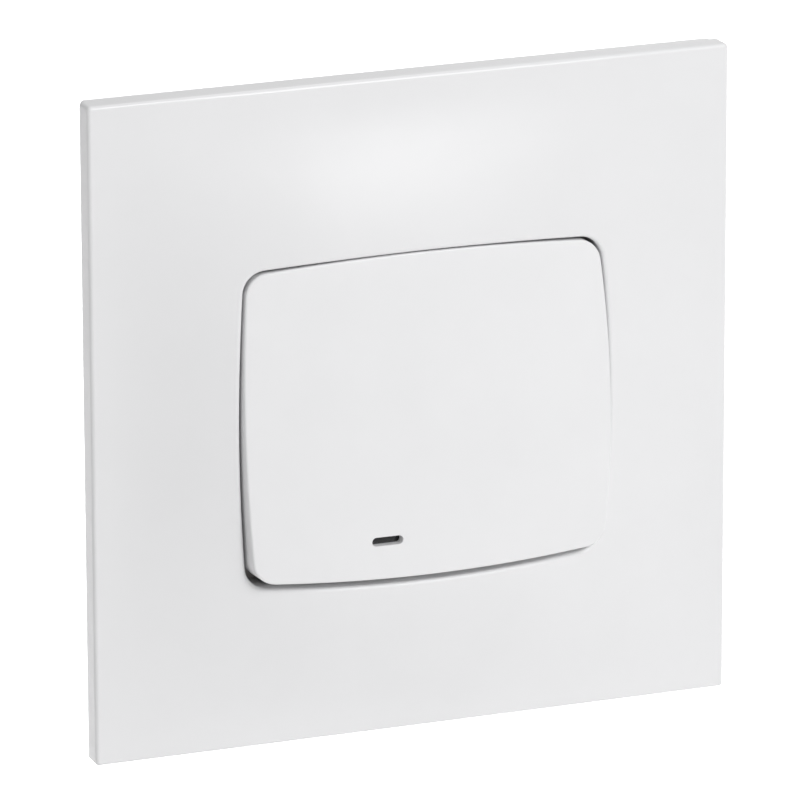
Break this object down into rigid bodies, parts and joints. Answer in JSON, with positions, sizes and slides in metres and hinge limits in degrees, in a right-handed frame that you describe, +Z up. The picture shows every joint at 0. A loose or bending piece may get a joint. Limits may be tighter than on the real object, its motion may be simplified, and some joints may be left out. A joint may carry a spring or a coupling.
{
  "type": "two-way light switch",
  "caption": "Flush-mounted two-way rocker light switch with a domed square cover plate, a pillow-shaped rocker with a small locator window, and a mechanism on a steel frame.",
  "frame": {"origin": "middle of the plate's back, in the plane of the wall, midway between the box screws", "axes": "+Z up, +Y into the wall, +X to the right seen from the front"},
  "size_m": [0.08, 0.0401, 0.08],
  "materials": {
    "plate_white": "smooth moulded, glossy",
    "rocker_white": "smooth moulded, satin",
    "lens_smoke": "smoked, translucent",
    "frame_steel": "zinc plated sheet",
    "housing_white": "fine moulded grain",
    "base_grey": "fine moulded grain",
    "terminal_brass": "stamped strip",
    "contact_silver": "domed rivet",
    "spring_steel": "stainless spring strip and wire",
    "button_orange": "smooth moulded",
    "plunger_white": "low-friction acetal",
    "lamp_clear": "clear, tinted",
    "lead_copper": "tinned wire",
    "claw_zinc": "zinc plated"
  },
  "bodies": {
    "switch_body": {"cover_plate": "plate_white", "mounting_frame": "frame_steel", "mechanism_housing": "housing_white", "mechanism_base": "base_grey", "lamp_carrier": "housing_white", "indicator_lamp": "lamp_clear", "lamp_lead_upper": "lead_copper", "lamp_lead_lower": "lead_copper", "fixed_contact_upper": "contact_silver", "fixed_contact_lower": "contact_silver", "claw_pin_right": "claw_zinc", "claw_pin_left": "claw_zinc", "terminal_common": "terminal_brass", "clamp_spring_common": "spring_steel", "terminal_upper": "terminal_brass", "clamp_spring_upper": "spring_steel", "terminal_lower": "terminal_brass", "clamp_spring_lower": "spring_steel"},
    "rocker": {"rocker": "rocker_white", "indicator_lens": "lens_smoke", "plunger_spring": "spring_steel"},
    "contact_plunger": {"contact_plunger": "plunger_white"},
    "contact_blade": {"contact_blade": "terminal_brass", "moving_contact_upper": "contact_silver", "moving_contact_lower": "contact_silver"},
    "claw_right": {"claw_right": "claw_zinc"},
    "claw_left": {"claw_left": "claw_zinc"},
    "claw_screw_right": {"claw_screw_right": "claw_zinc"},
    "claw_screw_left": {"claw_screw_left": "claw_zinc"},
    "release_button_common": {"release_button_common": "button_orange"},
    "release_button_upper": {"release_button_upper": "button_orange"},
    "release_button_lower": {"release_button_lower": "button_orange"}
  },
  "joints": [
    {"name": "rocker_tilt", "type": "hinge", "parent": "switch_body", "child": "rocker", "pos_m": [0, -0.0021, 0], "axis": [1, 0, 0], "range_deg": [0, 7]},
    {"name": "plunger_slide", "type": "slide", "parent": "rocker", "child": "contact_plunger", "axis": [0, -0.9981, 0.061], "range_m": [0, 0.0008], "stiffness_N_per_m": 300, "deforming": ["plunger_spring"]},
    {"name": "contact_tip", "type": "hinge", "parent": "switch_body", "child": "contact_blade", "pos_m": [0, 0.0114, 0], "axis": [1, 0, 0], "range_deg": [-10, 0]},
    {"name": "release_common_press", "type": "slide", "parent": "switch_body", "child": "release_button_common", "axis": [0, -1, 0], "range_m": [0, 0.0015], "stiffness_N_per_m": 400, "deforming": ["clamp_spring_common"]},
    {"name": "release_upper_press", "type": "slide", "parent": "switch_body", "child": "release_button_upper", "axis": [0, -1, 0], "range_m": [0, 0.0015], "stiffness_N_per_m": 400, "deforming": ["clamp_spring_upper"]},
    {"name": "release_lower_press", "type": "slide", "parent": "switch_body", "child": "release_button_lower", "axis": [0, -1, 0], "range_m": [0, 0.0015], "stiffness_N_per_m": 400, "deforming": ["clamp_spring_lower"]},
    {"name": "claw_screw_right_turn", "type": "hinge", "parent": "switch_body", "child": "claw_screw_right", "pos_m": [0.0269, 0, 0.0085], "axis": [0, 1, 0], "range_deg": [0, 970]},
    {"name": "claw_right_swing", "type": "hinge", "parent": "switch_body", "child": "claw_right", "pos_m": [0.0229, 0.0022, 0.0085], "axis": [0, 0, -1], "range_deg": [0, 20]},
    {"name": "claw_screw_left_turn", "type": "hinge", "parent": "switch_body", "child": "claw_screw_left", "pos_m": [-0.0269, 0, -0.0085], "axis": [0, 1, 0], "range_deg": [0, 970]},
    {"name": "claw_left_swing", "type": "hinge", "parent": "switch_body", "child": "claw_left", "pos_m": [-0.0229, 0.0022, -0.0085], "axis": [0, 0, 1], "range_deg": [0, 20]}
  ],
  "couplings": [
    {"joint": "contact_tip", "follows": "rocker_tilt", "ratio": -1.4286},
    {"joint": "claw_right_swing", "follows": "claw_screw_right_turn", "ratio": 0.020619},
    {"joint": "claw_left_swing", "follows": "claw_screw_left_turn", "ratio": 0.020619}
  ]
}
